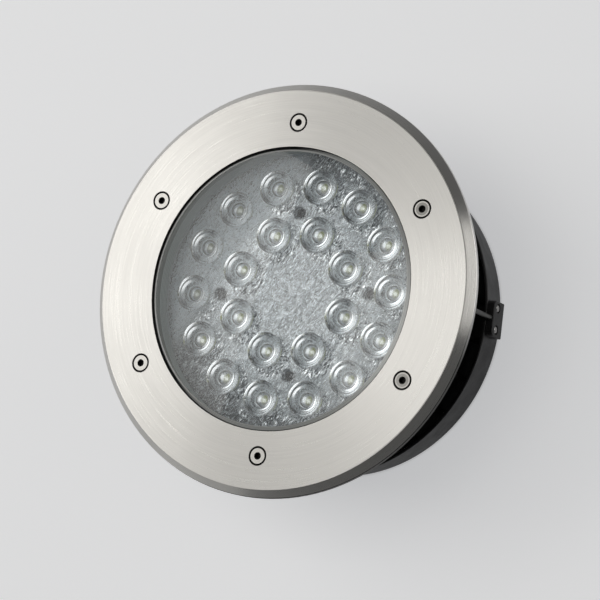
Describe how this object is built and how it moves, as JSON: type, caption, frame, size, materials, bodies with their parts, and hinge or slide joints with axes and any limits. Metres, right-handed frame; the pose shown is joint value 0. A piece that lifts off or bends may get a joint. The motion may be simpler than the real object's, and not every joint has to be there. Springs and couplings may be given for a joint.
{
  "type": "in ground well light",
  "caption": "Round in-ground light with a brushed steel trim ring, multi-lens optic under flat glass, finned black housing and clamping sleeve",
  "frame": {"origin": "centre of the housing's foot, on the surface that it stands on", "axes": "+Z along the light's axis, out through the glass; +X towards one of the trim ring's screws; the first sleeve lug lies towards -Y"},
  "size_m": [0.23, 0.23, 0.096],
  "materials": {
    "ring_steel": "circular brushed satin",
    "screw_steel": "satin",
    "cover_glass": "clear, polished",
    "black_rubber": "matte",
    "black_casting": "fine satin powder coat",
    "grey_baffle": "satin",
    "clear_optic": "clear, pebbled between polished lenses",
    "white_board": "satin white solder mask",
    "grey_pad": "matte",
    "white_ceramic": "satin",
    "yellow_phosphor": "matte",
    "grey_plastic": "fine moulded texture",
    "white_plastic": "satin",
    "gland_brass": "nickel plated satin",
    "black_plastic": "fine moulded texture",
    "black_sleeve": "satin",
    "tie_steel": "blackened satin"
  },
  "bodies": {
    "luminaire": {"trim_ring": "ring_steel", "trim_ring_screws": "screw_steel", "glass_lens": "cover_glass", "glass_gasket": "black_rubber", "housing": "black_casting", "baffle_ring": "grey_baffle", "optic_plate": "clear_optic", "optic_screws": "screw_steel", "led_board": "white_board", "thermal_pad": "grey_pad", "led_packages": "white_ceramic", "led_chips": "yellow_phosphor", "driver_case": "grey_plastic", "driver_screws": "screw_steel", "terminal_block": "white_plastic", "terminal_screws": "screw_steel", "rear_cover": "black_casting", "rear_cover_gasket": "black_rubber", "rear_cover_screws": "screw_steel", "gland_body": "gland_brass", "gland_washer": "black_rubber", "gland_locknut": "gland_brass", "gland_cap": "gland_brass", "gland_seal": "black_rubber", "vent_plug": "black_plastic"},
    "sleeve": {"mounting_sleeve": "black_sleeve", "sleeve_lug_1": "black_sleeve", "sleeve_lug_2": "black_sleeve", "sleeve_lug_3": "black_sleeve", "lug_screws": "screw_steel"},
    "tie_screw_1": {"tie_screw_1": "tie_steel", "tie_clip_1": "tie_steel"},
    "tie_screw_2": {"tie_screw_2": "tie_steel", "tie_clip_2": "tie_steel"},
    "tie_screw_3": {"tie_screw_3": "tie_steel", "tie_clip_3": "tie_steel"}
  },
  "joints": [
    {"name": "sleeve_travel", "type": "slide", "parent": "luminaire", "child": "sleeve", "axis": [0, 0, 1], "range_m": [0, 0.045]},
    {"name": "tie_screw_1_turn", "type": "hinge", "parent": "luminaire", "child": "tie_screw_1", "pos_m": [0, -0.0978, 0.089], "axis": [0, 0, 1], "continuous": true},
    {"name": "tie_screw_2_turn", "type": "hinge", "parent": "luminaire", "child": "tie_screw_2", "pos_m": [0.0847, 0.0489, 0.089], "axis": [0, 0, 1], "continuous": true},
    {"name": "tie_screw_3_turn", "type": "hinge", "parent": "luminaire", "child": "tie_screw_3", "pos_m": [-0.0847, 0.0489, 0.089], "axis": [0, 0, 1], "continuous": true}
  ],
  "couplings": [
    {"joint": "tie_screw_1_turn", "follows": "sleeve_travel", "rad_per_m": 12566},
    {"joint": "tie_screw_2_turn", "follows": "sleeve_travel", "rad_per_m": 12566},
    {"joint": "tie_screw_3_turn", "follows": "sleeve_travel", "rad_per_m": 12566}
  ]
}
